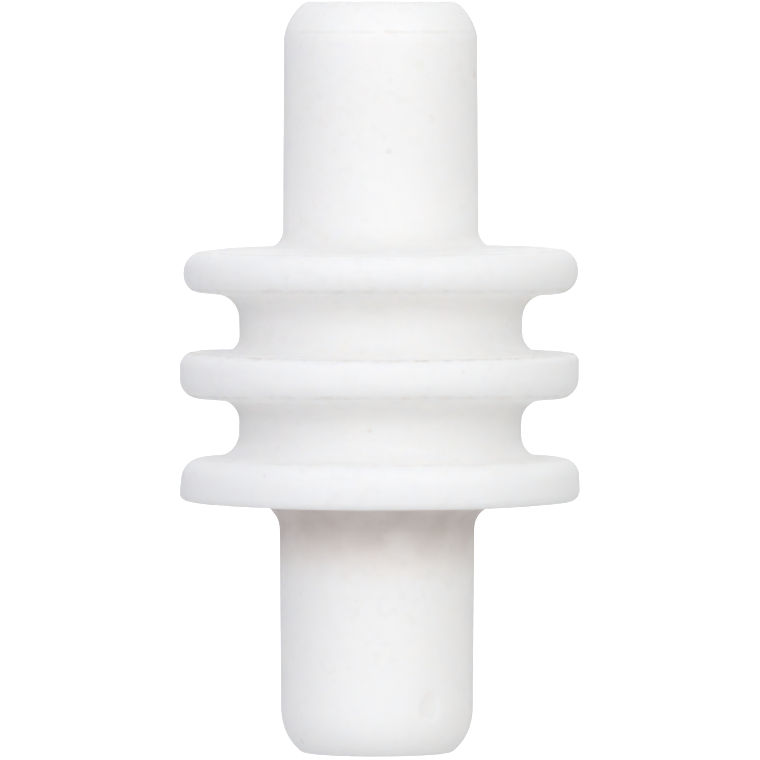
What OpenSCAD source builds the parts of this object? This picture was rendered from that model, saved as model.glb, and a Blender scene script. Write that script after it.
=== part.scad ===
// Ribbed insulating plug that blanks one empty cavity of a sealed connector.
// It is a single solid moulding in soft white silicone rubber: two plain stubs
// with bowed lead-in corners, and between them a core that carries the sealing
// lips. It stands on its lower end face. Z runs along the axis, and the origin
// is the centre of the lower end face. The two ends are alike.

/* [Stubs] */
// Diameter of both stubs
stub_d = 3.1; // [2.4:0.05:4]
// Length of each stub, from its end face to the nearest lip
stub_length = 3.95; // [2:0.05:8]
// Radius of the fillet where a stub meets a lip
stub_fillet_r = 0.25; // [0.05:0.05:0.4]

/* [Lead-in corners] */
// Radial width of the bowed corner between an end face and a stub's wall
corner_width = 0.32; // [0.2:0.02:0.5]
// Height of the bowed corner along the axis
corner_height = 0.55; // [0.2:0.05:0.7]
// Radius of the corner's outward bow
corner_bow_r = 1; // [0.8:0.1:4]

/* [Sealing lips] */
// Number of sealing lips
lip_count = 3; // [2:1:6]
// Diameter over the lips
lip_d = 6.4; // [5.3:0.1:9]
// Thickness of one lip along the axis
lip_thickness = 0.76; // [0.6:0.02:1.5]
// Radius of the round on each edge of a lip's rim
lip_rim_r = 0.25; // [0.05:0.01:0.3]

/* [Grooves] */
// Diameter of the core at the bottom of the grooves
core_d = 4.5; // [3.5:0.1:5.6]
// Width of the groove between two lips
groove_width = 0.91; // [0.65:0.01:2]
// Radius of the fillet on each side of a groove's bottom
groove_fillet_r = 0.3; // [0.05:0.05:0.4]

/* [Hidden] */

stub_r = stub_d / 2;
lip_r = lip_d / 2;
core_r = core_d / 2;
lip_pitch = lip_thickness + groove_width;
middle_length = lip_count * lip_thickness + (lip_count - 1) * groove_width;
plug_length = 2 * stub_length + middle_length;

// The groove's fillet stays within the flat side of a lip and half the groove.
lip_side = lip_r - lip_rim_r - core_r;
groove_fillet = min(groove_fillet_r, lip_side, groove_width / 2);

facets = 96;

// Square block of side r with a quarter circle taken out of its far corner,
// which leaves the concave fillet in the inside corner at the origin.
module inside_fillet(r) {
    difference() {
        square(r);
        translate([r, r]) circle(r = r, $fn = facets);
    }
}

// Corner block between the end face and the wall, rounded off by the arc that
// passes through the edge of the end face and the foot of the plain wall.
module lead_in_corner() {
    face_r = stub_r - corner_width;
    half_chord = norm([corner_width, corner_height]) / 2;
    reach = sqrt(pow(corner_bow_r, 2) - pow(half_chord, 2));
    inward = [-corner_height, corner_width] / (2 * half_chord);
    middle = [face_r + corner_width / 2, corner_height / 2];
    intersection() {
        square([stub_r, corner_height]);
        translate(middle + reach * inward) circle(r = corner_bow_r, $fn = facets);
    }
}

// Half outline of one stub, from its end face up to the lip that it joins.
module stub_outline() {
    lead_in_corner();
    translate([0, corner_height]) square([stub_r, stub_length - corner_height]);
    translate([stub_r, stub_length]) mirror([0, 1]) inside_fillet(stub_fillet_r);
}

// Half outline of one lip, with its two rim edges rounded.
module lip_outline() {
    straight = lip_thickness - 2 * lip_rim_r;
    square([lip_r - lip_rim_r, lip_thickness]);
    translate([0, lip_rim_r]) square([lip_r, straight]);
    for (z = [lip_rim_r, lip_thickness - lip_rim_r])
        translate([lip_r - lip_rim_r, z]) circle(r = lip_rim_r, $fn = facets);
}

// Half outline of the core along one groove, with the fillets at both sides.
module groove_outline() {
    square([core_r, groove_width]);
    translate([core_r, 0]) inside_fillet(groove_fillet);
    translate([core_r, groove_width]) mirror([0, 1]) inside_fillet(groove_fillet);
}

// The whole plug, turned from its half outline.
module blind_plug() {
    color("white")
    rotate_extrude($fn = facets) {
        stub_outline();
        translate([0, plug_length]) mirror([0, 1]) stub_outline();
        for (i = [0 : lip_count - 1])
            translate([0, stub_length + i * lip_pitch]) lip_outline();
        for (i = [0 : lip_count - 2])
            translate([0, stub_length + lip_thickness + i * lip_pitch]) groove_outline();
    }
}

blind_plug();
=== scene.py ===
"""Looks of the ribbed insulating cavity plug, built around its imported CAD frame.

The plug is one soft moulding: two stubs and a core with three sealing lips. A
Geometry Nodes tree turns four half outlines, one for each side of the plug,
into the skin, so the lips can lean and droop a little differently all round.
Sizes are in millimetres until they reach a mesh, and metres from there on.
"""

import logging
import math
from dataclasses import dataclass, field
from enum import Enum
from functools import partial, reduce
from typing import Any, Sequence

import bpy
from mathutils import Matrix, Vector


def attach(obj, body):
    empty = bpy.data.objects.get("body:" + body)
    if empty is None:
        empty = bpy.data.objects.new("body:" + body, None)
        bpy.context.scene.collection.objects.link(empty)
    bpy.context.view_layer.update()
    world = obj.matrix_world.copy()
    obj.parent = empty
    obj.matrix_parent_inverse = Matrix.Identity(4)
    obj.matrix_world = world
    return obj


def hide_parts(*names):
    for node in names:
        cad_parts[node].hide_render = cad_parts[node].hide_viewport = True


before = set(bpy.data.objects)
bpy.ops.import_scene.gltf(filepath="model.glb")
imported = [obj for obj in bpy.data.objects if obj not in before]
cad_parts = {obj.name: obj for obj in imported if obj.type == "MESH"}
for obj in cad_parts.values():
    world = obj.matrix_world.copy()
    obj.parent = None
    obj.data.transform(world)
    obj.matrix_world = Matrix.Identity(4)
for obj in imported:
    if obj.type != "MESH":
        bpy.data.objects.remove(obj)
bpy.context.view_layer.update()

MM = 0.001
CAD_NODE = "blind_plug"
CAD_BODY = "root"
LINE_HALF_WIDTH = 0.035

Socket = bpy.types.NodeSocket
Colour = tuple[float, float, float, float]

log = logging.getLogger("cavity_plug")


# ---- outlines


class Side(Enum):
    """The four sides of the plug that have a half outline of their own."""

    RIGHT = 0
    FRONT = 1
    LEFT = 2
    BACK = 3


@dataclass(frozen=True)
class Corner:
    """One corner of a half outline, in millimetres.

    The straight run that leads to the corner and the arc that rounds it are cut
    into a set number of spans, so every side's outline has the same points. The
    mould line's strength is set with its place along the arc, from 0 to 1.
    """

    radius: float
    height: float
    rounding: float = 0.0
    run: int = 1
    arc: int = 0
    mould_line: float = 0.0
    line_place: float = 0.5


@dataclass(frozen=True)
class OutlinePoint:
    """A point of a finished half outline with what the skin needs to know there."""

    radius: float
    height: float
    mould_line: float


@dataclass(frozen=True)
class LipSection:
    """Cross-section of one lip at one side, in millimetres.

    Heights are set against the lip's nominal faces. A shift moves the whole upper
    face up. A droop is how far that face then falls from core to rim, and a lift
    how far the underside climbs. A lean draws the upper edge in.
    """

    reach: float = 3.19
    lean: float = 0.0
    droop: float = 0.0
    lift: float = 0.0
    over_round: float = 0.25
    under_round: float = 0.25
    over_shift: float = 0.0


@dataclass(frozen=True)
class GrooveSection:
    """Bottom of one groove at one side, in millimetres, from its lower edge up."""

    low_core: float = 2.26
    high_core: float = 2.26
    low_round: float = 0.32
    high_round: float = 0.36


@dataclass(frozen=True)
class EndSection:
    """Lead-in corner at one end of a stub, in millimetres from the end face."""

    face_radius: float = 1.21
    face_round: float = 0.18
    bow_radius: float = 1.445
    bow_height: float = 0.25
    bow_round: float = 0.8
    wall_radius: float = 1.535
    wall_height: float = 0.6
    wall_round: float = 1.1


@dataclass(frozen=True)
class PlugSizes:
    """Nominal sizes of the plug, in millimetres, as in the CAD model."""

    length: float = 12.0
    stub_length: float = 3.95
    lip_thickness: float = 0.76
    groove_width: float = 0.91
    lip_count: int = 3
    core_radius: float = 2.25

    def lip_floor(self, number: int) -> float:
        """Height of the underside of a lip, counted from the lower one."""
        return self.stub_length + number * (self.lip_thickness + self.groove_width)


def rounded_outline(corners: Sequence[Corner]) -> list[OutlinePoint]:
    """Cuts a chain of corners into points, with an arc at each rounded corner.

    Args:
        corners: The corners from the lower pole to the upper pole.

    Returns:
        The points of the half outline, in order.
    """
    first = corners[0]
    points = [OutlinePoint(first.radius, first.height, 0.0)]
    leave = Vector((first.radius, first.height))
    for before, corner, after in zip(corners, corners[1:], [*corners[2:], None]):
        here = Vector((corner.radius, corner.height))
        back = Vector((before.radius, before.height)) - here
        start, arc_points = here, []
        if after is not None and corner.arc:
            ahead = Vector((after.radius, after.height)) - here
            start, arc_points = corner_arc(here, back.normalized(), ahead.normalized(), corner)
        if (start - leave).dot(here - leave) < 0:
            raise ValueError(f"the rounds before {tuple(here)} overlap")
        for step in range(1, corner.run + 1):
            spot = leave.lerp(start, step / corner.run)
            points.append(OutlinePoint(spot.x, spot.y, 0.0))
        points.extend(arc_points)
        leave = Vector((points[-1].radius, points[-1].height))
    return points


def corner_arc(
    here: Vector, back: Vector, ahead: Vector, corner: Corner
) -> tuple[Vector, list[OutlinePoint]]:
    """Rounds one corner with an arc that is tangent to both of its runs.

    Args:
        here: The sharp corner.
        back: Unit direction towards the corner before.
        ahead: Unit direction towards the corner after.
        corner: The corner's rounding, spans and marks.

    Returns:
        The point where the arc starts, and the arc's points after it.
    """
    half_angle = back.angle(ahead) / 2
    tangent = corner.rounding / math.tan(half_angle)
    centre = here + (back + ahead).normalized() * (corner.rounding / math.sin(half_angle))
    start = here + back * tangent
    end = here + ahead * tangent
    spoke_start, spoke_end = start - centre, end - centre
    sweep = spoke_start.angle(spoke_end)
    points = []
    for step in range(1, corner.arc + 1):
        share = step / corner.arc
        low = math.sin((1 - share) * sweep) / math.sin(sweep)
        high = math.sin(share * sweep) / math.sin(sweep)
        spot = centre + spoke_start * low + spoke_end * high
        away = (share - corner.line_place) * sweep * corner.rounding / LINE_HALF_WIDTH
        line = corner.mould_line * math.exp(-away * away)
        points.append(OutlinePoint(spot.x, spot.y, line))
    return start, points


def scene_object(name: str, data: bpy.types.ID) -> bpy.types.Object:
    """Makes an object and links it into the scene.

    Args:
        name: The object's name.
        data: Its mesh, lamp or camera.

    Returns:
        The object.
    """
    made = bpy.data.objects.new(name, data)
    bpy.context.scene.collection.objects.link(made)
    return made


# ---- node graphs


@dataclass(frozen=True)
class Grain:
    """A noise with its scale in turns along a unit, and how its range is mapped.

    The pattern number is added to the seed. Noise from low to high becomes a
    number from start to end.
    """

    scale: float
    pattern: int
    detail: float = 2.0
    roughness: float = 0.5
    low: float = 0.3
    high: float = 0.7
    start: float = 0.0
    end: float = 1.0


class Graph:
    """A node tree under construction, with short calls for its usual steps."""

    def __init__(self, tree: bpy.types.NodeTree) -> None:
        """Keeps the tree that the calls add nodes to."""
        self.tree = tree

    def node(self, kind: str, links: dict[Any, Any] | None = None, **settings: Any) -> bpy.types.Node:
        """Adds a node.

        Args:
            kind: The node's type name.
            links: What goes into its inputs, by name or number: a socket to link
                from, or a plain value.
            settings: The node's own properties.

        Returns:
            The new node.
        """
        made = self.tree.nodes.new(kind)
        for name, value in settings.items():
            setattr(made, name, value)
        for key, value in (links or {}).items():
            self.feed(made.inputs[key], value)
        return made

    def feed(self, socket: Socket, value: Any) -> None:
        """Gives an input its value.

        Args:
            socket: The input.
            value: A socket to link from, or a plain value.
        """
        if isinstance(value, Socket):
            self.tree.links.new(value, socket)
        else:
            socket.default_value = value

    def math(self, operation: str, *values: Any) -> Socket:
        """Adds a scalar sum, product or other operation and returns its result."""
        links = dict(enumerate(values))
        return self.node("ShaderNodeMath", links, operation=operation).outputs[0]

    def times(self, *values: Any) -> Socket:
        """Multiplies numbers."""
        return reduce(partial(self.math, "MULTIPLY"), values)

    def plus(self, *values: Any) -> Socket:
        """Adds numbers up."""
        return reduce(partial(self.math, "ADD"), values)

    def minus(self, value: Any, less: Any) -> Socket:
        """Takes one number from another."""
        return self.math("SUBTRACT", value, less)

    def vector(self, operation: str, *values: Any) -> Socket:
        """Adds a vector operation and returns its vector result."""
        links = dict(enumerate(values))
        return self.node("ShaderNodeVectorMath", links, operation=operation).outputs[0]

    def measure(self, operation: str, *values: Any) -> Socket:
        """Adds a vector operation and returns its number result."""
        links = dict(enumerate(values))
        return self.node("ShaderNodeVectorMath", links, operation=operation).outputs["Value"]

    def scaled(self, vector: Any, amount: Any) -> Socket:
        """Multiplies a vector by a number."""
        links = {0: vector, "Scale": amount}
        return self.node("ShaderNodeVectorMath", links, operation="SCALE").outputs[0]

    def combine(self, x: Any, y: Any, z: Any) -> Socket:
        """Makes a vector from three numbers."""
        return self.node("ShaderNodeCombineXYZ", {0: x, 1: y, 2: z}).outputs[0]

    def split(self, vector: Any) -> list[Socket]:
        """Splits a vector into its three numbers."""
        return list(self.node("ShaderNodeSeparateXYZ", {0: vector}).outputs)

    def ramp(self, value: Any, low: Any, high: Any, start: Any = 0.0, end: Any = 1.0) -> Socket:
        """Maps a number smoothly from one range to another.

        Args:
            value: The number to map.
            low: Where the change begins.
            high: Where the change is complete.
            start: The result at the low end and below it.
            end: The result at the high end and above it.

        Returns:
            The mapped number's socket.
        """
        links = {"Value": value, "From Min": low, "From Max": high, "To Min": start, "To Max": end}
        made = self.node("ShaderNodeMapRange", links, interpolation_type="SMOOTHSTEP")
        return made.outputs["Result"]

    def blend(self, share: Any, under: Any, over: Any) -> Socket:
        """Mixes two colours.

        Args:
            share: How much of the second colour shows, from 0 to 1.
            under: The first colour.
            over: The second colour.

        Returns:
            The mixed colour's socket.
        """
        links = {0: share, 6: under, 7: over}
        return self.node("ShaderNodeMix", links, data_type="RGBA").outputs[2]

    def noise(
        self, vector: Any, scale: float, seed: Any, detail: float = 2.0, roughness: float = 0.5
    ) -> Socket:
        """Adds seeded noise from 0 to 1.

        Args:
            vector: The place to read the noise at.
            scale: Grain, in turns along one unit of the place.
            seed: The number that sets the pattern.
            detail: How many finer layers are added.
            roughness: How strong the finer layers are.

        Returns:
            The noise's socket.
        """
        links = {"Vector": vector, "W": seed, "Scale": scale, "Detail": detail, "Roughness": roughness}
        return self.node("ShaderNodeTexNoise", links, noise_dimensions="4D").outputs[0]

    def grained(self, vector: Any, grain: Grain, seed: float) -> Socket:
        """Adds a noise and maps it as its grain says."""
        noise = self.noise(vector, grain.scale, seed + grain.pattern, grain.detail, grain.roughness)
        return self.ramp(noise, grain.low, grain.high, grain.start, grain.end)


@dataclass(frozen=True)
class TreeInput:
    """A named input of a geometry tree: its socket type and the value given to it."""

    name: str
    socket: str
    value: Any


def set_inputs(modifier: bpy.types.Modifier, inputs: Sequence[TreeInput]) -> None:
    """Sets a Geometry Nodes modifier's inputs by their sockets' identifiers.

    Args:
        modifier: The modifier.
        inputs: The named inputs and their values.
    """
    values = {item.name: item.value for item in inputs}
    for item in modifier.node_group.interface.items_tree:
        if item.item_type == "SOCKET" and item.in_out == "INPUT" and item.name in values:
            modifier[item.identifier] = values[item.name]


# ---- materials


def empty_material(name: str) -> tuple[bpy.types.Material, Graph]:
    """Makes a material with no nodes yet.

    Args:
        name: The material's name.

    Returns:
        The material and its node graph.
    """
    material = bpy.data.materials.new(name)
    material.use_nodes = True
    material.node_tree.nodes.clear()
    return material, Graph(material.node_tree)


@dataclass(frozen=True)
class SpeckLayer:
    """One kind of speck in the skin, scattered through cells of one size.

    Cells are counted along a millimetre, and the radius is a share of a cell.
    """

    cells: float
    radius: float
    share: float
    strength: float
    tint: Colour


@dataclass(frozen=True)
class Blemish:
    """A soft-edged spot on the skin, in millimetres from the axis and the lower end."""

    turn_deg: float
    reach: float
    height: float
    size: float
    strength: float
    tint: Colour

    def place(self) -> tuple[float, float, float]:
        """Works out where the spot is on the plug, in millimetres."""
        turn = math.radians(self.turn_deg)
        return (self.reach * math.cos(turn), self.reach * math.sin(turn), self.height)


@dataclass(frozen=True)
class SiliconeSkin:
    """Finish of the plug: white silicone rubber, matte and a little translucent.

    Grain is in turns along a millimetre, and lengths are in millimetres. The
    scatter radii are the shares of the scatter's reach for red, green and blue.
    """

    name: str = "white_silicone"
    body: Colour = (0.97, 0.963, 0.95, 1.0)
    cloud: Colour = (0.93, 0.925, 0.915, 1.0)
    mottle: Colour = (0.80, 0.785, 0.76, 1.0)
    # Warm grey of the painted shade and dust in the corner under the lowest lip.
    nook: Colour = (0.75, 0.69, 0.655, 1.0)
    grime: Colour = (0.50, 0.44, 0.35, 1.0)
    specks: tuple[SpeckLayer, ...] = (
        SpeckLayer(4.0, 0.3, 0.15, 0.1, (0.62, 0.60, 0.57, 1.0)),
        SpeckLayer(1.6, 0.1, 0.30, 0.2, (0.45, 0.43, 0.41, 1.0)),
        SpeckLayer(1.2, 0.08, 0.25, 0.2, (0.66, 0.50, 0.34, 1.0)),
    )
    blemishes: tuple[Blemish, ...] = (
        Blemish(-85.0, 1.56, 9.62, 0.08, 0.17, (0.45, 0.44, 0.43, 1.0)),
        Blemish(-58.0, 1.56, 10.13, 0.1, 0.14, (0.55, 0.54, 0.50, 1.0)),
        Blemish(-66.0, 1.56, 10.98, 0.16, 0.12, (0.66, 0.60, 0.46, 1.0)),
        Blemish(-15.0, 1.56, 10.83, 0.1, 0.3, (0.62, 0.44, 0.26, 1.0)),
        Blemish(-77.0, 1.55, 3.40, 0.36, 0.28, (0.95, 0.945, 0.94, 1.0)),
    )
    # Painted shade: the lips' outer rims are blended towards this darker grey.
    rim: Colour = (0.88, 0.885, 0.895, 1.0)
    rim_start: float = 2.75
    rim_full: float = 3.12
    rim_share: float = 0.8
    clouds: Grain = Grain(0.9, 0, 3.0, 0.55, low=0.35)
    flecks: Grain = Grain(5.0, 6, low=0.46, high=0.78)
    patches: Grain = Grain(0.7, 8, low=0.38, high=0.62, start=0.06, end=0.26)
    nook_shade_patches: Grain = Grain(2.6, 1, 4.0, 0.6, start=0.72)
    streaks: Grain = Grain(4.5, 2, 4.0, 0.65, low=0.42, high=0.68, start=0.18, end=0.7)
    rubbing: Grain = Grain(2.0, 3, 3.0, start=0.52, end=0.66)
    ragged_scale: float = 14.0
    ragged_reach: float = 0.12
    speck_core: float = 0.35
    speck_faintest: float = 0.3
    blemish_core: float = 0.2
    fine_scale: float = 20.0
    fine_share: float = 0.12
    soft_scale: float = 4.5
    bump_distance: float = 0.012
    bump_strength: float = 0.6
    scatter_weight: float = 1.0
    scatter_reach: float = 1.0
    scatter_radii: tuple[float, float, float] = (1.0, 0.9, 0.8)
    shine: float = 0.4
    index: float = 1.41
    seed: float = 7.0

    def build(self) -> bpy.types.Material:
        """Makes the material.

        Returns:
            The finished material.
        """
        material, graph = empty_material(self.name)
        place = graph.node("ShaderNodeTexCoord").outputs["Object"]
        spot = graph.scaled(place, 1 / MM)
        links = {
            "Base Color": self.colour(graph, spot),
            "Roughness": self.roughness(graph, spot),
            "IOR": self.index,
            "Subsurface Weight": self.scatter_weight,
            "Subsurface Radius": self.scatter_radii,
            "Subsurface Scale": self.scatter_reach * MM,
            "Specular IOR Level": self.shine,
            "Normal": self.relief(graph, spot),
        }
        skin = graph.node("ShaderNodeBsdfPrincipled", links)
        graph.node("ShaderNodeOutputMaterial", {"Surface": skin.outputs[0]})
        return material

    def attribute(self, graph: Graph, name: str) -> Socket:
        """Reads one of the numbers that the skin's mesh carries."""
        return graph.node("ShaderNodeAttribute", attribute_name=name).outputs["Fac"]

    def colour(self, graph: Graph, spot: Any) -> Socket:
        """Builds the colour: clouded white, painted shade and dust under the lowest lip, painted shade on
        the lips' rims, grime and specks.

        Args:
            graph: The material's node graph.
            spot: Place on the plug, in millimetres.

        Returns:
            The colour socket.
        """
        clouds = graph.grained(spot, self.clouds, self.seed)
        colour = graph.blend(clouds, self.body, self.cloud)
        outward = graph.measure("LENGTH", graph.vector("MULTIPLY", spot, (1.0, 1.0, 0.0)))
        # Painted shade on the lips, darker the further a point is from the axis.
        rim_shade = graph.ramp(outward, self.rim_start, self.rim_full, 0.0, self.rim_share)
        colour = graph.blend(rim_shade, colour, self.rim)
        flecks = graph.grained(spot, self.flecks, self.seed)
        patches = graph.grained(spot, self.patches, self.seed)
        colour = graph.blend(graph.times(flecks, patches), colour, self.mottle)
        # Painted shade and dust in the corner under the lowest lip, laid on in patches.
        patchy = graph.grained(spot, self.nook_shade_patches, self.seed)
        nook = graph.times(self.attribute(graph, "nook"), patchy)
        colour = graph.blend(nook, colour, self.nook)
        streak = graph.grained(spot, self.streaks, self.seed)
        edge = graph.times(self.attribute(graph, "mould_line"), streak)
        colour = graph.blend(edge, colour, self.grime)
        links = {"Vector": spot, "Scale": self.ragged_scale}
        ragged = graph.node("ShaderNodeTexNoise", links).outputs["Color"]
        ragged = graph.vector("SUBTRACT", ragged, (0.5, 0.5, 0.5))
        ragged = graph.vector("ADD", spot, graph.scaled(ragged, self.ragged_reach))
        for number, layer in enumerate(self.specks):
            colour = self.speckled(graph, ragged, colour, layer, number)
        for mark in self.blemishes:
            away = graph.measure("DISTANCE", ragged, mark.place())
            core = self.blemish_core * mark.size
            here = graph.ramp(away, core, mark.size, mark.strength, 0.0)
            colour = graph.blend(here, colour, mark.tint)
        return colour

    def speckled(self, graph: Graph, spot: Any, colour: Any, layer: SpeckLayer, number: int) -> Socket:
        """Scatters one kind of speck over a colour.

        Args:
            graph: The material's node graph.
            spot: Place on the plug, in millimetres.
            colour: The colour under the specks.
            layer: The kind of speck.
            number: The layer's number, which sets its own scatter.

        Returns:
            The colour socket with specks.
        """
        moved = graph.vector("ADD", spot, (3.7 * number + self.seed, 1.3, 2.9 * number))
        cells = graph.node("ShaderNodeTexVoronoi", {"Vector": moved, "Scale": layer.cells})
        chance, depth, _ = graph.split(cells.outputs["Color"])
        core, faintest = layer.radius * self.speck_core, layer.strength * self.speck_faintest
        here = graph.ramp(cells.outputs["Distance"], core, layer.radius, 1.0, 0.0)
        some = graph.math("LESS_THAN", chance, layer.share)
        strength = graph.ramp(depth, 0.0, 1.0, faintest, layer.strength)
        amount = graph.times(here, some, strength)
        return graph.blend(amount, colour, layer.tint)

    def roughness(self, graph: Graph, spot: Any) -> Socket:
        """Builds the roughness: matte, with slightly shinier rubbed patches."""
        return graph.grained(spot, self.rubbing, self.seed)

    def relief(self, graph: Graph, spot: Any) -> Socket:
        """Builds the fine relief: eroded mould texture and soft unevenness.

        Args:
            graph: The material's node graph.
            spot: Place on the plug, in millimetres.

        Returns:
            The normal's socket.
        """
        fine = graph.noise(spot, self.fine_scale, self.seed + 4, 3.0, 0.6)
        soft = graph.noise(spot, self.soft_scale, self.seed + 5)
        height = graph.plus(graph.times(fine, self.fine_share), soft)
        links = {"Height": height, "Distance": self.bump_distance * MM}
        return graph.node("ShaderNodeBump", {**links, "Strength": self.bump_strength}).outputs[0]


@dataclass(frozen=True)
class SweepFinish:
    """Finish of the studio floor: pale matte acrylic, softly lit from below."""

    name: str = "pale_sweep"
    tone: Colour = (0.95, 0.95, 0.95, 1.0)
    glow: float = 0.6
    shine: float = 0.2
    grain: Grain = Grain(300.0, 1, start=0.7, end=0.8)

    def build(self) -> bpy.types.Material:
        """Makes the material.

        Returns:
            The finished material.
        """
        material, graph = empty_material(self.name)
        place = graph.node("ShaderNodeTexCoord").outputs["Object"]
        links = {
            "Base Color": self.tone,
            "Roughness": graph.grained(place, self.grain, 0.0),
            "Specular IOR Level": self.shine,
            "Emission Color": (1.0, 1.0, 1.0, 1.0),
            "Emission Strength": self.glow,
        }
        surface = graph.node("ShaderNodeBsdfPrincipled", links)
        graph.node("ShaderNodeOutputMaterial", {"Surface": surface.outputs[0]})
        return material


# ---- the plug


@dataclass(frozen=True)
class MouldMark:
    """Plain oval dent that the mould leaves on the lower stub, in millimetres."""

    turn_deg: float = -58.0
    height: float = 0.79
    half_width: float = 0.18
    half_height: float = 0.235
    depth: float = 0.06
    floor_share: float = 0.78
    edge_share: float = 1.08


@dataclass(frozen=True)
class Spans:
    """How many spans each run and arc of a half outline is cut into."""

    face: int = 6
    wall: int = 56
    lip_side: int = 5
    outer_side: int = 7
    end_arcs: tuple[int, int, int] = (6, 12, 6)
    lower_root: int = 10
    upper_root: int = 8
    groove: int = 8
    rim: int = 10


@dataclass(frozen=True)
class LineStrengths:
    """How strong the mould line is at the plug's edges, from 0 to 1.

    A place says where along an edge's arc the line runs, also from 0 to 1.
    """

    upper_stub: float = 0.9
    lip_under: tuple[float, float, float] = (0.1, 0.65, 0.65)
    lip_over: tuple[float, float, float] = (0.2, 0.7, 0.3)
    under_place: float = 0.35
    over_place: float = 0.8


LIP_SECTIONS: dict[Side, tuple[LipSection, LipSection, LipSection]] = {
    Side.RIGHT: (
        LipSection(reach=3.2, lean=0.02, droop=0.01, lift=0.07, over_round=0.28, under_round=0.18),
        LipSection(reach=3.178, lift=0.05, over_round=0.12, under_round=0.33),
        LipSection(3.17, 0.01, droop=0.02, lift=0.06, over_round=0.32, under_round=0.34, over_shift=0.015),
    ),
    Side.LEFT: (
        LipSection(3.22, 0.08, droop=0.05, lift=0.085, over_round=0.34, under_round=0.12, over_shift=0.035),
        LipSection(reach=3.2, lift=0.06, over_round=0.23, under_round=0.3, over_shift=0.02),
        LipSection(3.145, 0.01, droop=0.065, lift=0.08, over_round=0.34, under_round=0.28, over_shift=0.015),
    ),
    Side.FRONT: (
        LipSection(reach=3.19, lean=0.03, lift=0.055, over_round=0.28, under_round=0.1),
        LipSection(reach=3.18, droop=0.03, lift=0.12, over_round=0.16, under_round=0.32),
        LipSection(reach=3.17, lean=0.01, droop=0.06, lift=0.11, over_round=0.22, under_round=0.36),
    ),
    Side.BACK: (
        LipSection(reach=3.19, lean=0.05, droop=0.02, lift=0.02, over_round=0.2, under_round=0.16),
        LipSection(reach=3.19, lift=0.05, over_round=0.12, under_round=0.24),
        LipSection(3.17, 0.01, droop=0.01, lift=0.06, over_round=0.2, under_round=0.2, over_shift=0.02),
    ),
}

GROOVE_SECTIONS: dict[Side, tuple[GrooveSection, GrooveSection]] = {
    Side.RIGHT: (
        GrooveSection(low_core=2.26, high_core=2.255, low_round=0.36, high_round=0.36),
        GrooveSection(low_core=2.272, high_core=2.272, low_round=0.33, high_round=0.38),
    ),
    Side.LEFT: (
        GrooveSection(low_core=2.25, high_core=2.25, low_round=0.4, high_round=0.34),
        GrooveSection(low_core=2.235, high_core=2.262, low_round=0.26, high_round=0.39),
    ),
    Side.FRONT: (GrooveSection(), GrooveSection(high_round=0.2)),
    Side.BACK: (GrooveSection(), GrooveSection()),
}


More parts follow.
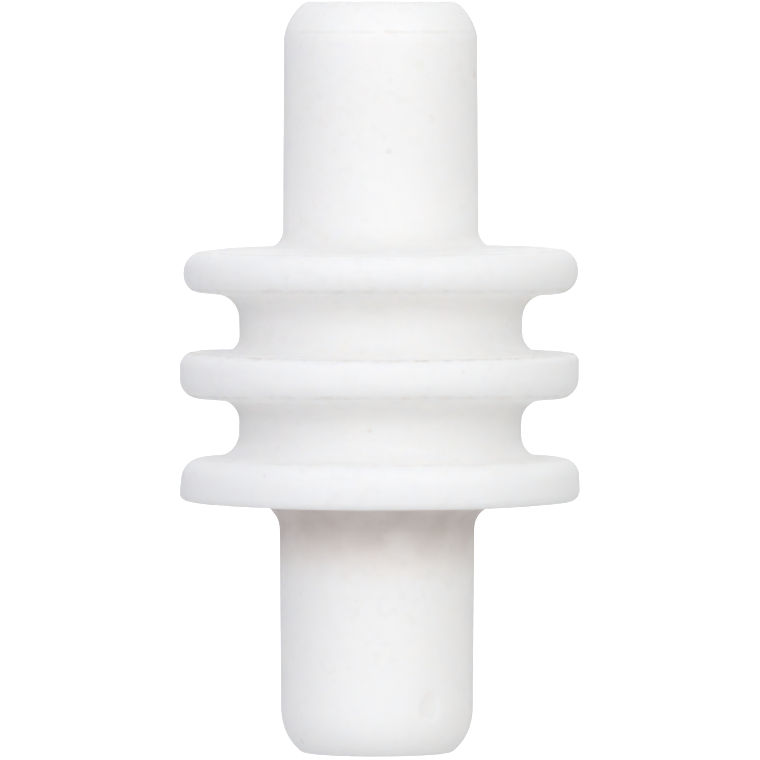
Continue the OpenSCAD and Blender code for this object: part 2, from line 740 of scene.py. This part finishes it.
@dataclass
class SealingPlug:
    """The plug's skin, made from its four half outlines by Geometry Nodes."""

    sizes: PlugSizes = field(default_factory=PlugSizes)
    lower_end: EndSection = field(default_factory=EndSection)
    upper_end: EndSection = field(
        default_factory=lambda: EndSection(
            face_radius=1.223, face_round=0.28, bow_radius=1.487, bow_height=0.315,
            bow_round=0.9, wall_radius=1.543, wall_height=0.577, wall_round=0.35,
        )
    )
    mark: MouldMark = field(default_factory=MouldMark)
    spans: Spans = field(default_factory=Spans)
    lines: LineStrengths = field(default_factory=LineStrengths)
    segments: int = 256
    seed: int = 3
    lower_wall: float = 1.556
    upper_wall: float = 1.56
    lower_root_round: float = 0.4
    upper_root_round: float = 0.3
    lower_shift: float = -0.048
    upper_shift: float = 0.01
    shift_fade: float = 0.1
    # Where the painted shade and dust under the lowest lip starts, becomes full and ends.
    nook_depth: float = 1.4
    nook_full: float = 0.15
    nook_top: float = 0.12
    lip_wave: float = 0.03
    lip_wave_scale: float = 1.3
    lip_twist: float = 0.6
    pull_scale: float = 2.0
    pull_pattern: int = 11
    skin_wave: float = 0.008
    skin_wave_scale: float = 1.1
    skin_wave_middle: float = 0.75
    flash_height: float = 0.012
    flash_scale: float = 2.4
    flash_breaks: tuple[float, float] = (0.4, 0.65)
    reach_limit: float = 3.197
    merge_distance: float = 0.0005

    def half_outline(self, side: Side) -> list[Corner]:
        """Lists the corners of the half outline at one side.

        Args:
            side: The side of the plug.

        Returns:
            The corners from the lower pole to the upper pole.
        """
        sizes, spans, sections = self.sizes, self.spans, LIP_SECTIONS[side]
        corners = [Corner(0.0, 0.0), *self.end_corners(self.lower_end, upper=False)]
        cut = (spans.wall, spans.lower_root)
        corners.append(Corner(self.lower_wall, sizes.stub_length, self.lower_root_round, *cut))
        for number, section in enumerate(sections):
            corners.extend(self.lip_corners(number, section))
            if number < sizes.lip_count - 1:
                groove = GROOVE_SECTIONS[side][number]
                low = self.lip_roof(number, side)
                high = sizes.lip_floor(number + 1)
                cut = (spans.lip_side, spans.groove)
                corners.append(Corner(groove.low_core, low, groove.low_round, *cut))
                corners.append(Corner(groove.high_core, high, groove.high_round, *cut))
        roof = self.lip_roof(sizes.lip_count - 1, side)
        cut = (spans.outer_side, spans.upper_root)
        corners.append(Corner(self.upper_wall, roof, self.upper_root_round, *cut))
        corners.extend(self.end_corners(self.upper_end, upper=True))
        corners.append(Corner(0.0, sizes.length, run=spans.face))
        return corners

    def lip_roof(self, number: int, side: Side) -> float:
        """Height of a lip's upper face at the core, on one side."""
        nominal = self.sizes.lip_floor(number) + self.sizes.lip_thickness
        return nominal + LIP_SECTIONS[side][number].over_shift

    def end_corners(self, end: EndSection, upper: bool) -> list[Corner]:
        """Lists the corners of a stub's lead-in, in order from below.

        Args:
            end: The sizes of the lead-in.
            upper: Whether it is the upper end.

        Returns:
            The three corners.
        """
        top, spans = self.sizes.length, self.spans
        lines = [0.0, self.lines.upper_stub if upper else 0.0, 0.0]
        heights = [0.0, end.bow_height, end.wall_height]
        radii = [end.face_radius, end.bow_radius, end.wall_radius]
        rounds = [end.face_round, end.bow_round, end.wall_round]
        runs, arcs = [spans.face, 1, 1], spans.end_arcs
        if upper:
            heights = [top - height for height in heights]
            runs = [1, 1, spans.wall]
        order = range(2, -1, -1) if upper else range(3)
        return [
            Corner(radii[i], heights[i], rounds[i], runs[i], arcs[i], lines[i], line_place=0.0)
            for i in order
        ]

    def lip_corners(self, number: int, section: LipSection) -> list[Corner]:
        """Lists the two rim corners of a lip, lower one first.

        Args:
            number: The lip, counted from the lower one.
            section: Its cross-section at this side.

        Returns:
            The two corners.
        """
        floor = self.sizes.lip_floor(number)
        roof = floor + self.sizes.lip_thickness
        spans, lines = self.spans, self.lines
        run = spans.lip_side if number else spans.outer_side
        return [
            Corner(
                section.reach, floor + section.lift, section.under_round,
                run, spans.rim, lines.lip_under[number], lines.under_place,
            ),
            Corner(
                section.reach - section.lean, roof - section.droop + section.over_shift,
                section.over_round, spans.lip_side, spans.rim, lines.lip_over[number],
                lines.over_place,
            ),
        ]

    def outline_object(self) -> tuple[bpy.types.Object, int]:
        """Puts the four half outlines into one object, one after another.

        Returns:
            The helper object, and the number of points in one outline.
        """
        outlines = [rounded_outline(self.half_outline(side)) for side in Side]
        points = [point for outline in outlines for point in outline]
        mesh = bpy.data.meshes.new("plug_outlines")
        mesh.from_pydata([(p.radius * MM, 0.0, p.height * MM) for p in points], [], [])
        layer = mesh.attributes.new("mould_line", "FLOAT", "POINT")
        layer.data.foreach_set("value", [p.mould_line for p in points])
        return scene_object("plug_outlines", mesh), len(outlines[0])

    def tree_inputs(
        self, outlines: bpy.types.Object, rows: int, skin: bpy.types.Material
    ) -> list[TreeInput]:
        """Lists the named inputs of the geometry tree with their values.

        Args:
            outlines: The object that holds the four half outlines.
            rows: The number of points in one outline.
            skin: The material of the plug.

        Returns:
            The inputs, lengths in metres.
        """
        mark, sizes = self.mark, self.sizes
        turn = math.radians(mark.turn_deg)
        radius = self.lower_wall
        place = (radius * math.cos(turn) * MM, radius * math.sin(turn) * MM, mark.height * MM)
        half = (mark.half_width * MM, 1.0, mark.half_height * MM)
        lengths = {
            "Length": sizes.length,
            "Core Radius": sizes.core_radius,
            "Reach Limit": self.reach_limit,
            "Lip Wave": self.lip_wave,
            "Skin Wave": self.skin_wave,
            "Flash Height": self.flash_height,
            "Lower Shoulder": sizes.stub_length,
            "Upper Shoulder": sizes.lip_floor(sizes.lip_count - 1) + sizes.lip_thickness,
            "Nook Depth": self.nook_depth,
            "Lower Shift": self.lower_shift,
            "Upper Shift": self.upper_shift,
            "Mark Depth": mark.depth,
        }
        return [
            TreeInput("Outlines", "NodeSocketObject", outlines),
            TreeInput("Rows", "NodeSocketInt", rows),
            TreeInput("Segments", "NodeSocketInt", self.segments),
            TreeInput("Seed", "NodeSocketInt", self.seed),
            *(TreeInput(name, "NodeSocketFloat", size * MM) for name, size in lengths.items()),
            TreeInput("Mark Place", "NodeSocketVector", place),
            TreeInput("Mark Half Size", "NodeSocketVector", half),
            TreeInput("Skin", "NodeSocketMaterial", skin),
        ]

    def skin_tree(self, inputs: Sequence[TreeInput]) -> bpy.types.NodeTree:
        """Builds the geometry tree that turns the outlines into the skin.

        Args:
            inputs: The tree's named inputs.

        Returns:
            The node tree.
        """
        tree = bpy.data.node_groups.new("turned_plug_skin", "GeometryNodeTree")
        tree.interface.new_socket("Geometry", in_out="OUTPUT", socket_type="NodeSocketGeometry")
        for item in inputs:
            tree.interface.new_socket(item.name, in_out="INPUT", socket_type=item.socket)
        graph = Graph(tree)
        given = graph.node("NodeGroupInput").outputs
        body = self.turned_grid(graph, given)
        body = self.shifted_stubs(graph, given, body)
        merge = {"Geometry": body, "Distance": self.merge_distance * MM}
        body = graph.node("GeometryNodeMergeByDistance", merge).outputs[0]
        body = graph.node("GeometryNodeFlipFaces", {"Mesh": body}).outputs[0]
        body = self.raised_relief(graph, given, body)
        body = graph.node("GeometryNodeSetShadeSmooth", {"Geometry": body}).outputs[0]
        body = graph.node("GeometryNodeRealizeInstances", {"Geometry": body}).outputs[0]
        dressed = graph.node("GeometryNodeSetMaterial", {"Geometry": body, "Material": given["Skin"]})
        result = graph.node("NodeGroupOutput")
        tree.links.new(dressed.outputs[0], result.inputs[0])
        return tree

    def turned_grid(self, graph: Graph, given: Any) -> Socket:
        """Wraps a grid round the axis along the blended half outlines.

        Args:
            graph: The geometry graph.
            given: The tree's inputs.

        Returns:
            The wrapped skin, still open along its seam, with its marks stored.
        """
        columns = graph.plus(given["Segments"], 1)
        links = {"Size X": 1.0, "Size Y": 1.0, "Vertices X": given["Rows"], "Vertices Y": columns}
        grid = graph.node("GeometryNodeMeshGrid", links).outputs["Mesh"]
        across, along, _ = graph.split(graph.node("GeometryNodeInputPosition").outputs[0])
        last = graph.minus(given["Rows"], 1)
        row = graph.math("ROUND", graph.times(graph.plus(across, 0.5), last))
        angle = graph.times(graph.plus(along, 0.5), math.tau)
        cosine, sine = graph.math("COSINE", angle), graph.math("SINE", angle)
        facing = {
            Side.RIGHT: cosine,
            Side.FRONT: graph.times(sine, -1.0),
            Side.LEFT: graph.times(cosine, -1.0),
            Side.BACK: sine,
        }
        source = graph.node("GeometryNodeObjectInfo", {"Object": given["Outlines"]}).outputs["Geometry"]
        spot, line = None, None
        for side in Side:
            toward = graph.math("MAXIMUM", facing[side], 0.0)
            share = graph.times(toward, toward)
            start = graph.times(given["Rows"], float(side.value))
            number = graph.plus(row, start)
            place = graph.scaled(self.sampled(graph, source, number, None), share)
            spot = place if spot is None else graph.vector("ADD", spot, place)
            if side is Side.RIGHT:
                line = self.sampled(graph, source, number, "mould_line")
        radius, _, height = graph.split(spot)
        radius, height = self.waved_lips(graph, given, radius, height, cosine, sine)
        position = graph.combine(
            graph.times(radius, cosine), graph.times(radius, sine), height
        )
        grid = self.stored(graph, grid, "mould_line", line)
        # Stores the share of painted shade and dust in the corner under the lowest lip.
        grid = self.stored(graph, grid, "nook", self.lower_nook_shade(graph, given, radius, height))
        wrapped = graph.node("GeometryNodeSetPosition", {"Geometry": grid, "Position": position})
        return wrapped.outputs[0]

    def lower_nook_shade(self, graph: Graph, given: Any, radius: Any, height: Any) -> Socket:
        """Tells how deep each point is in the corner under the lowest lip, from 0 to 1, which sets the
        painted shade and dust there.

        Args:
            graph: The geometry graph.
            given: The tree's inputs.
            radius: Distance from the axis.
            height: Height above the lower end.

        Returns:
            The share.
        """
        shoulder = given["Lower Shoulder"]
        start = graph.minus(shoulder, given["Nook Depth"])
        climb = graph.ramp(height, start, graph.minus(shoulder, self.nook_full * MM))
        inner = graph.ramp(radius, given["Core Radius"], given["Reach Limit"], 1.0, 0.0)
        under = graph.math("LESS_THAN", height, graph.plus(shoulder, self.nook_top * MM))
        return graph.times(climb, inner, under)

    def sampled(self, graph: Graph, source: Any, number: Any, name: str | None) -> Socket:
        """Reads a place, or a stored number, at one point of the outlines.

        Args:
            graph: The geometry graph.
            source: The outlines' geometry.
            number: The point's number.
            name: The stored number to read, or None for the point's place.

        Returns:
            The value's socket.
        """
        whole = graph.node("FunctionNodeFloatToInt", {0: number}, rounding_mode="ROUND").outputs[0]
        if name is None:
            value = graph.node("GeometryNodeInputPosition").outputs[0]
            kind = "FLOAT_VECTOR"
        else:
            value = graph.node("GeometryNodeInputNamedAttribute", {"Name": name}, data_type="FLOAT")
            value, kind = value.outputs["Attribute"], "FLOAT"
        links = {"Geometry": source, "Value": value, "Index": whole}
        made = graph.node("GeometryNodeSampleIndex", links, data_type=kind, clamp=True)
        return made.outputs["Value"]

    def stored(self, graph: Graph, body: Any, name: str, value: Any) -> Socket:
        """Stores a number on every point of the skin.

        Args:
            graph: The geometry graph.
            body: The skin.
            name: The name to store the number under.
            value: The number at each point.

        Returns:
            The skin with the stored number.
        """
        links = {"Geometry": body, "Name": name, "Value": value}
        kinds = {"data_type": "FLOAT", "domain": "POINT"}
        return graph.node("GeometryNodeStoreNamedAttribute", links, **kinds).outputs[0]

    def waved_lips(
        self, graph: Graph, given: Any, radius: Any, height: Any, cosine: Any, sine: Any
    ) -> tuple[Socket, Socket]:
        """Lets the lips wander a little up, down and inwards round the plug.

        Args:
            graph: The geometry graph.
            given: The tree's inputs.
            radius: Distance from the axis.
            height: Height above the lower end.
            cosine: Cosine of the angle round the axis.
            sine: Sine of the same angle.

        Returns:
            The new radius and height.
        """
        floppy = graph.ramp(radius, given["Core Radius"], given["Reach Limit"])
        around = graph.combine(cosine, sine, graph.times(height, self.lip_twist / MM))
        wander = graph.noise(around, self.lip_wave_scale, given["Seed"], 1.0)
        wander = graph.minus(wander, 0.5)
        rise = graph.times(wander, given["Lip Wave"], floppy)
        height = graph.plus(height, rise)
        other = graph.plus(given["Seed"], self.pull_pattern)
        pull = graph.noise(around, self.pull_scale, other, 1.0)
        pull = graph.times(pull, given["Skin Wave"])
        radius = graph.minus(radius, graph.times(pull, floppy))
        return graph.math("MINIMUM", radius, given["Reach Limit"]), height

    def shifted_stubs(self, graph: Graph, given: Any, body: Any) -> Socket:
        """Moves each stub sideways by the small mismatch of the mould plates.

        Args:
            graph: The geometry graph.
            given: The tree's inputs.
            body: The skin.

        Returns:
            The skin with its stubs moved.
        """
        height = graph.split(graph.node("GeometryNodeInputPosition").outputs[0])[2]
        fade = self.shift_fade * MM
        low_edge = graph.minus(given["Lower Shoulder"], fade)
        high_edge = graph.plus(given["Upper Shoulder"], fade)
        low = graph.ramp(height, low_edge, given["Lower Shoulder"], given["Lower Shift"], 0.0)
        high = graph.ramp(height, given["Upper Shoulder"], high_edge, 0.0, given["Upper Shift"])
        offset = graph.combine(graph.plus(low, high), 0.0, 0.0)
        return graph.node("GeometryNodeSetPosition", {"Geometry": body, "Offset": offset}).outputs[0]

    def raised_relief(self, graph: Graph, given: Any, body: Any) -> Socket:
        """Adds what stands on or in the skin: soft waves, flash lines and the oval dent.

        Args:
            graph: The geometry graph.
            given: The tree's inputs.
            body: The closed skin.

        Returns:
            The skin with its relief.
        """
        place = graph.node("GeometryNodeInputPosition").outputs[0]
        spot = graph.scaled(place, 1 / MM)
        wave = graph.noise(spot, self.skin_wave_scale, given["Seed"])
        wave = graph.minus(self.skin_wave_middle, wave)
        wave = graph.times(wave, given["Skin Wave"])
        line = graph.node("GeometryNodeInputNamedAttribute", {"Name": "mould_line"}, data_type="FLOAT")
        broken = graph.noise(spot, self.flash_scale, given["Seed"], 3.0, 0.6)
        broken = graph.ramp(broken, *self.flash_breaks)
        flash = graph.times(line.outputs["Attribute"], broken, given["Flash Height"])
        dent = graph.times(self.oval_dent(graph, given, place), given["Mark Depth"])
        height = graph.minus(graph.plus(wave, flash), dent)
        normal = graph.node("GeometryNodeInputNormal").outputs[0]
        links = {"Geometry": body, "Offset": graph.scaled(normal, height)}
        raised = graph.node("GeometryNodeSetPosition", links).outputs[0]
        room = graph.combine(given["Reach Limit"], given["Reach Limit"], given["Length"])
        floor = graph.vector("MULTIPLY", room, (-1.0, -1.0, 0.0))
        place = graph.node("GeometryNodeInputPosition").outputs[0]
        kept = graph.vector("MAXIMUM", graph.vector("MINIMUM", place, room), floor)
        return graph.node("GeometryNodeSetPosition", {"Geometry": raised, "Position": kept}).outputs[0]

    def oval_dent(self, graph: Graph, given: Any, place: Any) -> Socket:
        """Tells how far each point is inside the oval dent, from 0 to 1.

        Args:
            graph: The geometry graph.
            given: The tree's inputs.
            place: The point's place.

        Returns:
            The share of the dent's full depth.
        """
        flat = graph.vector("MULTIPLY", given["Mark Place"], (1.0, 1.0, 0.0))
        outward = graph.vector("NORMALIZE", flat)
        tangent = graph.vector("CROSS_PRODUCT", outward, (0.0, 0.0, 1.0))
        away = graph.vector("SUBTRACT", place, given["Mark Place"])
        half_wide, _, half_tall = graph.split(given["Mark Half Size"])
        wide = graph.math("DIVIDE", graph.measure("DOT_PRODUCT", away, tangent), half_wide)
        tall = graph.math("DIVIDE", graph.split(away)[2], half_tall)
        wide, tall = graph.times(wide, wide), graph.times(tall, tall)
        reach = graph.math("SQRT", graph.plus(wide, tall))
        inside = graph.ramp(reach, self.mark.floor_share, self.mark.edge_share, 1.0, 0.0)
        near = graph.math("GREATER_THAN", graph.measure("DOT_PRODUCT", place, outward), 0.0)
        return graph.times(inside, near)

    def build(self, skin: bpy.types.Material) -> bpy.types.Object:
        """Makes the plug's mesh and dresses it.

        Args:
            skin: The material of the plug.

        Returns:
            The finished piece.
        """
        outlines, rows = self.outline_object()
        inputs = self.tree_inputs(outlines, rows, skin)
        carrier = scene_object("plug_carrier", bpy.data.meshes.new("plug_carrier"))
        modifier = carrier.modifiers.new("skin", "NODES")
        modifier.node_group = self.skin_tree(inputs)
        set_inputs(modifier, inputs)
        evaluated = carrier.evaluated_get(bpy.context.evaluated_depsgraph_get())
        mesh = bpy.data.meshes.new_from_object(evaluated)
        for helper in (carrier, outlines):
            bpy.data.objects.remove(helper)
        mesh.name = "silicone_plug"
        piece = scene_object("silicone_plug", mesh)
        log.info("silicone_plug: %d faces from %d rows", len(mesh.polygons), rows)
        return piece


# ---- the studio


@dataclass(frozen=True)
class SoftSun:
    """One large, far, soft lamp. Angles are in degrees, from the camera's side."""

    name: str
    turn: float
    rise: float
    strength: float
    spread: float = 45.0
    tint: tuple[float, float, float] = (1.0, 1.0, 1.0)


@dataclass
class Studio:
    """Plain floor, soft surrounding light and camera. Lengths are in metres.

    The room's light changes with the height of its direction, from -1 straight
    down to 1 straight up. Each edge is the range over which one change happens.
    """

    floor_radius: float = 0.4
    cove_radius: float = 0.1
    wall_height: float = 0.4
    floor_hub: float = 0.05
    floor_segments: int = 96
    cove_steps: int = 8
    low_light: float = 0.68
    side_light: float = 0.1
    ring_light: float = 1.45
    top_light: float = 0.7
    side_dimming: float = 0.35
    high_side_dimming: float = 0.3
    low_edge: tuple[float, float] = (-0.2, -0.05)
    ring_edge: tuple[float, float] = (0.1, 0.35)
    top_edge: tuple[float, float] = (0.5, 0.8)
    dimming_edge: tuple[float, float] = (0.25, 0.6)
    tint_edge: tuple[float, float] = (-0.9, 0.3)
    left_tint: Colour = (0.985, 0.985, 1.03, 1.0)
    right_tint: Colour = (1.0, 1.0, 1.0, 1.0)
    camera_distance: float = 0.18
    camera_height: float = 0.0118
    aim_height: float = 0.00595
    frame_width: float = 0.012133
    sensor: float = 36.0
    lamps: tuple[SoftSun, ...] = (
        SoftSun("left_front_lamp", -40.0, 8.0, 0.58, tint=(0.985, 0.99, 1.02)),
        SoftSun("right_front_lamp", 40.0, 8.0, 0.67, tint=(1.0, 1.0, 0.985)),
    )

    def build(self, finish: SweepFinish) -> None:
        """Builds the floor, the surrounding light, the lamps and the camera.

        Args:
            finish: The floor's finish.
        """
        self.lay_floor(finish)
        self.light_room()
        for lamp in self.lamps:
            self.hang_lamp(lamp)
        self.aim_camera()

    def lay_floor(self, finish: SweepFinish) -> None:
        """Lays the round floor, whose rim curves up into a wall all round.

        It is only there to be seen: light reaches the plug through it, and it
        throws none back, so the plug is lit by the room alone.

        Args:
            finish: The floor's finish.
        """
        flat, cove = self.floor_radius - self.cove_radius, self.cove_radius
        profile = [(self.floor_hub, 0.0), (flat, 0.0)]
        for step in range(1, self.cove_steps + 1):
            turn = math.pi / 2 * step / self.cove_steps
            profile.append((flat + cove * math.sin(turn), cove * (1 - math.cos(turn))))
        profile.append((self.floor_radius, self.wall_height))
        points, faces, count = [(0.0, 0.0, 0.0)], [], self.floor_segments
        for radius, height in profile:
            for step in range(count):
                angle = math.tau * step / count
                points.append((radius * math.cos(angle), radius * math.sin(angle), height))
        for step in range(count):
            ahead = (step + 1) % count
            faces.append((0, 1 + step, 1 + ahead))
            for ring in range(len(profile) - 1):
                low, high = 1 + ring * count, 1 + (ring + 1) * count
                faces.append((low + step, high + step, high + ahead, low + ahead))
        mesh = bpy.data.meshes.new("studio_floor")
        mesh.from_pydata(points, [], faces)
        mesh.shade_smooth()
        mesh.materials.append(finish.build())
        floor = scene_object("studio_floor", mesh)
        floor.visible_diffuse = False
        floor.visible_glossy = False
        floor.visible_shadow = False

    def light_room(self) -> None:
        """Lights the room by height: dim below and at the sides, a bright ring, dim above."""
        world = bpy.data.worlds.new("studio_room")
        world.use_nodes = True
        graph = Graph(world.node_tree)
        ground = world.node_tree.nodes["Background"]
        across, _, rise = graph.split(graph.node("ShaderNodeTexCoord").outputs["Generated"])
        below = graph.ramp(rise, *self.low_edge, self.low_light, self.side_light)
        ring = graph.ramp(rise, *self.ring_edge, 0.0, self.ring_light - self.side_light)
        fall = graph.ramp(rise, *self.top_edge, 0.0, self.ring_light - self.top_light)
        light = graph.minus(graph.plus(below, ring), fall)
        dimming = graph.ramp(rise, *self.dimming_edge, 0.0, self.high_side_dimming)
        dimming = graph.plus(dimming, self.side_dimming)
        aside = graph.times(across, across, dimming)
        light = graph.times(light, graph.minus(1.0, aside))
        tint = graph.ramp(across, *self.tint_edge)
        tint = graph.blend(tint, self.left_tint, self.right_tint)
        graph.feed(ground.inputs["Color"], tint)
        graph.feed(ground.inputs["Strength"], light)
        bpy.context.scene.world = world

    def hang_lamp(self, lamp: SoftSun) -> None:
        """Hangs one soft far lamp that shines at the plug.

        Args:
            lamp: The lamp's place, strength and tint.
        """
        light = bpy.data.lights.new(lamp.name, "SUN")
        light.energy, light.color = lamp.strength, lamp.tint
        light.angle = math.radians(lamp.spread)
        turn, rise = math.radians(lamp.turn), math.radians(lamp.rise)
        source = Vector((
            math.sin(turn) * math.cos(rise), -math.cos(turn) * math.cos(rise), math.sin(rise)
        ))
        body = scene_object(lamp.name, light)
        body.rotation_euler = (-source).to_track_quat("-Z", "Y").to_euler()

    def aim_camera(self) -> None:
        """Places the long-lens camera level with the plug's upper end."""
        lens = bpy.data.cameras.new("studio_camera")
        lens.sensor_width = self.sensor
        place = Vector((0.0, -self.camera_distance, self.camera_height))
        aim = Vector((0.0, 0.0, self.aim_height))
        lens.lens = self.sensor * (aim - place).length / self.frame_width
        lens.clip_start, lens.clip_end = 0.01, 10.0
        camera = scene_object("studio_camera", lens)
        camera.location = place
        camera.rotation_euler = (aim - place).to_track_quat("-Z", "Y").to_euler()
        bpy.context.scene.camera = camera


def main() -> None:
    """Builds the studio and the plug, and ties the plug to its CAD body."""
    logging.basicConfig(level=logging.INFO, format="%(message)s")
    bpy.context.scene.view_settings.view_transform = "Standard"
    Studio().build(SweepFinish())
    plug = SealingPlug().build(SiliconeSkin().build())
    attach(plug, CAD_BODY)
    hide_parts(CAD_NODE)


if __name__ == "__main__":
    main()
